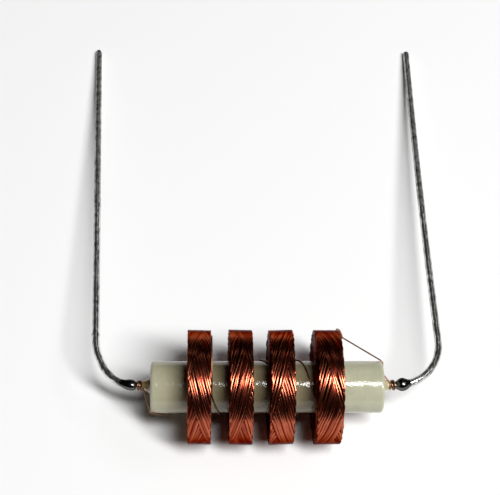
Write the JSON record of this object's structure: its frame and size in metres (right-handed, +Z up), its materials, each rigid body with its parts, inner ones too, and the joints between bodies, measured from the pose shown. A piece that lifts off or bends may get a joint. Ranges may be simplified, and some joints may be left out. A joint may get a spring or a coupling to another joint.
{
  "type": "radio frequency choke",
  "caption": "Pi-wound radio frequency choke: universal-wound copper sections on a ceramic rod, with tinned axial leads bent at right angles.",
  "frame": {"origin": "on the ground that the part lies on, under the middle of its overall length and width", "axes": "+X along the ceramic form from the left lead to the right lead, +Y from the form towards the tips of the leads, +Z up"},
  "size_m": [0.0465, 0.0644, 0.014],
  "materials": {
    "ceramic": "fired, satin, pale grey-green",
    "tinned_copper": "dull tinned wire, slightly drawn",
    "solder": "bright frozen drop",
    "enamelled_copper": "red-brown enamelled fine copper wire, laid criss-cross",
    "fine_wire": "single enamelled fine copper wire",
    "cement": "translucent brown cement"
  },
  "bodies": {
    "root": {"ceramic_form": "ceramic", "lead_left": "tinned_copper", "lead_right": "tinned_copper", "cement_left": "cement", "cement_right": "cement", "solder_left": "solder", "solder_right": "solder", "winding_1": "enamelled_copper", "winding_2": "enamelled_copper", "winding_3": "enamelled_copper", "winding_4": "enamelled_copper", "start_wire": "fine_wire", "link_wire_1": "fine_wire", "link_wire_2": "fine_wire", "link_wire_3": "fine_wire", "finish_wire": "fine_wire"}
  },
  "joints": []
}
